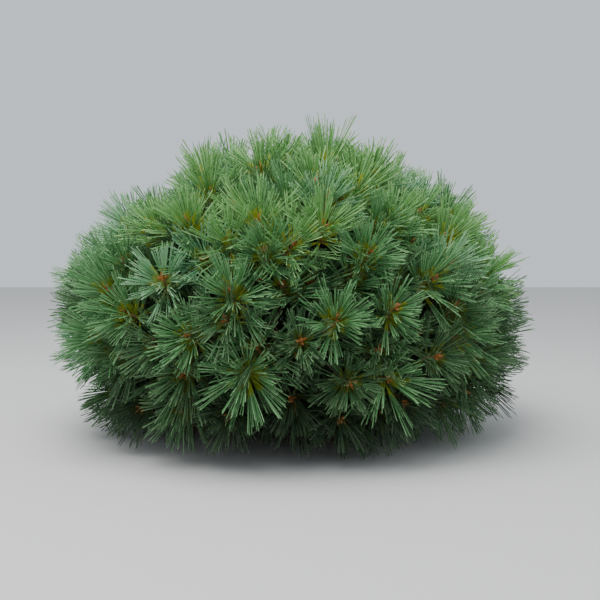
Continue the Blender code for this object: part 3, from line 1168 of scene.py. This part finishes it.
@dataclass(frozen=True)
class Studio:
    """The pale floor, the soft light and the camera at the photograph's angle."""

    camera_place: Triple = (0.016, -1.40, 0.31)
    focal_pixels: float = 856.0
    frame_pixels: float = 600.0
    horizon_pixel: float = 238.0
    sensor: float = 36.0
    floor_size: float = 8.0
    sky_colour: Triple = (0.86, 0.93, 1.0)
    sky_strength: float = 0.85
    light_place: Triple = (-0.4, -0.7, 2.1)
    light_turn: Triple = (math.radians(20), 0, math.radians(-30))
    light_energy: float = 62.0
    light_size: float = 1.6

    def camera(self) -> None:
        """The camera: level, then tipped down until the horizon lies on its row of the photograph."""
        data = bpy.data.cameras.new("camera")
        data.sensor_width = self.sensor
        data.lens = self.sensor * self.focal_pixels / self.frame_pixels
        camera = bpy.data.objects.new("camera", data)
        camera.location = self.camera_place
        down = math.atan((self.frame_pixels / 2 - self.horizon_pixel) / self.focal_pixels)
        camera.rotation_euler = (math.pi / 2 - down, 0, 0)
        bpy.context.scene.collection.objects.link(camera)
        bpy.context.scene.camera = camera

    def floor(self) -> None:
        """A plain pale floor at ground level."""
        half = self.floor_size / 2
        corners = np.array([(-half, -half, 0), (half, -half, 0), (half, half, 0), (-half, half, 0)])
        plane = Surface(corners, np.array([(0, 1, 2), (0, 2, 3)]), np.zeros(2))
        floor = plane.piece("floor", [PALE_FLOOR.material()], False)

    def lights(self) -> None:
        """An even pale sky and one broad soft light from above the viewer's left."""
        world = bpy.data.worlds.new("sky")
        world.use_nodes = True
        sky = world.node_tree.nodes["Background"]
        sky.inputs["Color"].default_value = (*self.sky_colour, 1)
        sky.inputs["Strength"].default_value = self.sky_strength
        bpy.context.scene.world = world
        data = bpy.data.lights.new("soft_light", "AREA")
        data.size = self.light_size
        data.energy = self.light_energy
        light = bpy.data.objects.new("soft_light", data)
        light.location = self.light_place
        light.rotation_euler = self.light_turn
        bpy.context.scene.collection.objects.link(light)


@dataclass
class Shrub:
    """The whole plant: builds each kind of piece and sets it on the plant's body."""

    crown: Crown = Crown()
    trunk: Trunk = Trunk()
    rule: TwigRule = TwigRule()
    bundle_count_spread: Span = (0.82, 1.18)
    seed: int = 5

    def __post_init__(self) -> None:
        """Works out the shoots, the mass that each belongs to and the limb that carries each mass."""
        self.masses = Masses(self.crown)
        self.boughs = Boughs(self.trunk)
        self.random = np.random.default_rng(self.seed)
        front = self.crown.front_shoots()
        main = front.with_more(self.crown.lattice_shoots(front))
        outer = main.with_more(self.crown.filling_shoots(main, self.crown.finer))
        self.shoots = outer.with_more(self.crown.filling_shoots(outer, self.crown.inner))
        self.main_count, self.outer_count = len(main.depths), len(outer.depths)
        self.home = self.masses.nearest(self.shoots.places)
        for number in range(len(self.masses.names())):
            own = self.home == number
            self.shoots.places[own] = self.masses.moved_in(self.shoots.places[own], number)
        carried = zip(self.masses.names()[1:], self.masses.middles()[1:])
        self.limbs = [self.trunk.limb(), *(self.boughs.limb(name, middle) for name, middle in carried)]

    def build_wood(self) -> None:
        """The trunk and both whorls of boughs, in bark."""
        bark = [BarkFinish().material()]
        names = self.masses.names()
        self.settle(self.trunk.surface().piece("trunk_bark", bark, True), "bark", "trunk")
        for whorl in ("low", "high"):
            numbers = [number for number, name in enumerate(names) if name.startswith(whorl)]
            parts = [self.boughs.surface(self.limbs[number], number) for number in numbers]
            piece = Surface.joined(parts).piece(f"boughs_{whorl}", bark, True)
            self.settle(piece, "bark", *(f"bough_{names[number]}" for number in numbers))

    def mass_twigs(self, number: int) -> list[Twig]:
        """The twigs of one mass: the stem that carries on from its limb, its forks and the finer twigs.

        Args:
            number: the mass's number.

        Returns:
            The twigs.
        """
        limb, places, axes = self.limbs[number], self.shoots.places, self.shoots.axes
        seat, radius = limb.points[-1], limb.radii[-1] * self.rule.stem_share
        stem_end = seat + unit(seat - limb.points[-2]) * self.rule.stem_length
        own = np.flatnonzero(self.home == number)
        twigs = self.rule.grow(stem_end, radius, places, own[own < self.main_count])
        twigs[0].points = np.vstack([seat, twigs[0].points])
        twigs[0].radii = np.concatenate([[radius], twigs[0].radii])
        for shoot in own[own >= self.main_count]:
            twigs.append(self.rule.finer(twigs, places[shoot], axes[shoot], int(shoot)))
        return twigs

    def build_twigs(self) -> None:
        """The twigs of every mass, old bark first and young bark near each shoot."""
        twigs = [twig for number in range(len(self.limbs)) for twig in self.mass_twigs(number)]
        parts = [self.rule.surface(twig, self.shoots.axes[twig.shoot]) for twig in twigs]
        materials = [OLD_TWIG.material(), YOUNG_TWIG.material()]
        self.settle(Surface.joined(parts).piece("twigs", materials, True), "bark")

    def build_buds(self) -> None:
        """A cluster of buds on every shoot of the outer crown."""
        turns = self.random.uniform(0, 2 * math.pi, self.outer_count)
        tips = zip(self.shoots.places, self.shoots.axes, turns)
        buds = Buds()
        parts = [buds.cluster(place, axis, turn) for place, axis, turn in tips]
        self.settle(Surface.joined(parts).piece("buds", [BUD.material()], True), "bark")

    def build_needles(self) -> None:
        """The needles of each mass, as one piece that stands for its solid."""
        materials = NeedleFinish().materials()
        foliage = Foliage(np.array(CAD_BOX))
        tints = TintRule().deal(self.shoots, self.crown, self.random)
        kinds = np.diff([0, self.main_count, self.outer_count, len(self.home)])
        counts = np.repeat(foliage.bundles, kinds)
        counts = np.round(counts * self.random.uniform(*self.bundle_count_spread, len(counts))).astype(int)
        for number, name in enumerate(self.masses.names()):
            own = np.flatnonzero(self.home == number)
            surface = foliage.surface(self.shoots.only(own), counts[own], tints[own])
            self.settle(surface.piece(f"needles_{name}", materials, False), "needles", f"foliage_{name}")

    def settle(self, piece: bpy.types.Object, slot: str, *nodes: str) -> None:
        """Sets a piece on the plant's body and reports it.

        Args:
            piece: the piece.
            slot: not used.
            nodes: the solids that it stands for.
        """
        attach(piece, "root")
        if nodes:
            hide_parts(*nodes)
        LOG.info("%s: %d triangles", piece.name, len(piece.data.polygons))


def main() -> None:
    """Builds the studio and the shrub."""
    logging.basicConfig(level=logging.INFO, format="%(message)s")
    studio = Studio()
    studio.camera()
    studio.floor()
    studio.lights()
    shrub = Shrub()
    shrub.build_wood()
    shrub.build_twigs()
    shrub.build_buds()
    shrub.build_needles()
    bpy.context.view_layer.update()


if __name__ == "__main__":
    main()
